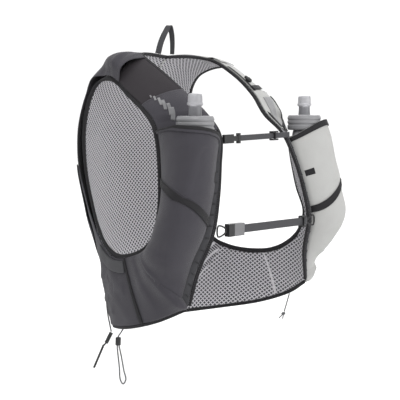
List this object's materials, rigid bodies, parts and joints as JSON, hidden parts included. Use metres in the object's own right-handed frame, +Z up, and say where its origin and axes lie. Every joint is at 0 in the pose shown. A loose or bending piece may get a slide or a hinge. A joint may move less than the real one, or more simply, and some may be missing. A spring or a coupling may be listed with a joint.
{
  "type": "running hydration vest",
  "caption": "Close-fitting running vest with spacer-mesh panels round large armholes, filled back shell, chest pockets holding capped soft flasks, and webbing sternum straps with a buckle.",
  "frame": {"origin": "midway between the shoulder straps' undersides, at the height of the neck corners, where the vest rests on the shoulders", "axes": "+Z up the wearer's body, -Y the way the wearer faces, +X to the wearer's left"},
  "size_m": [0.3688, 0.3296, 0.517],
  "materials": {
    "charcoal_fabric": "stretch woven",
    "light_fabric": "stretch woven",
    "dark_fabric": "smooth coated weave",
    "spacer_mesh": "hexagonal spacer mesh",
    "binding": "ribbed elastic tape",
    "webbing": "ribbed webbing",
    "hardware": "moulded, satin",
    "buckle_grey": "moulded, satin",
    "flask_film": "soft translucent film",
    "flask_cap": "moulded, satin",
    "bite_valve": "translucent silicone",
    "cord": "braided elastic"
  },
  "bodies": {
    "root": {"armhole_binding_left": "binding", "armhole_binding_right": "binding", "back_panel": "spacer_mesh", "back_pocket": "charcoal_fabric", "back_shell": "charcoal_fabric", "bite_valve_left": "bite_valve", "bite_valve_right": "bite_valve", "buckle_plug": "hardware", "buckle_socket": "buckle_grey", "drawcord": "cord", "drawcord_lock": "hardware", "edge_webbing_left": "webbing", "edge_webbing_right": "webbing", "flask_body_left": "flask_film", "flask_body_right": "flask_film", "flask_cap_left": "flask_cap", "flask_cap_right": "flask_cap", "flask_pocket_hem_left": "binding", "flask_pocket_hem_right": "charcoal_fabric", "flask_pocket_left": "light_fabric", "flask_pocket_right": "charcoal_fabric", "front_binding_left": "binding", "front_binding_right": "binding", "front_panel_left": "spacer_mesh", "front_panel_right": "spacer_mesh", "hang_loop": "webbing", "hem_binding": "binding", "hem_cord": "cord", "knotted_cord": "cord", "lower_adjuster": "hardware", "lower_pocket_left": "light_fabric", "lower_pocket_right": "charcoal_fabric", "lower_strap": "webbing", "neck_binding": "binding", "pocket_band_left": "binding", "pocket_band_right": "binding", "pull_cord": "cord", "pull_tab": "hardware", "shoulder_drape_left": "light_fabric", "shoulder_drape_right": "charcoal_fabric", "shoulder_strap_left": "spacer_mesh", "shoulder_strap_right": "spacer_mesh", "side_band_left": "webbing", "side_band_right": "webbing", "side_cover_left": "light_fabric", "side_cover_right": "charcoal_fabric", "side_seam_left": "binding", "side_seam_right": "binding", "side_wing_left": "spacer_mesh", "side_wing_right": "spacer_mesh", "strap_cover_left": "light_fabric", "strap_cover_right": "dark_fabric", "strap_pocket_left": "light_fabric", "strap_pocket_right": "charcoal_fabric", "strap_ring_left": "hardware", "strap_ring_right": "hardware", "upper_adjuster": "hardware", "upper_hook": "hardware", "upper_strap": "webbing", "yoke": "charcoal_fabric"}
  },
  "joints": []
}
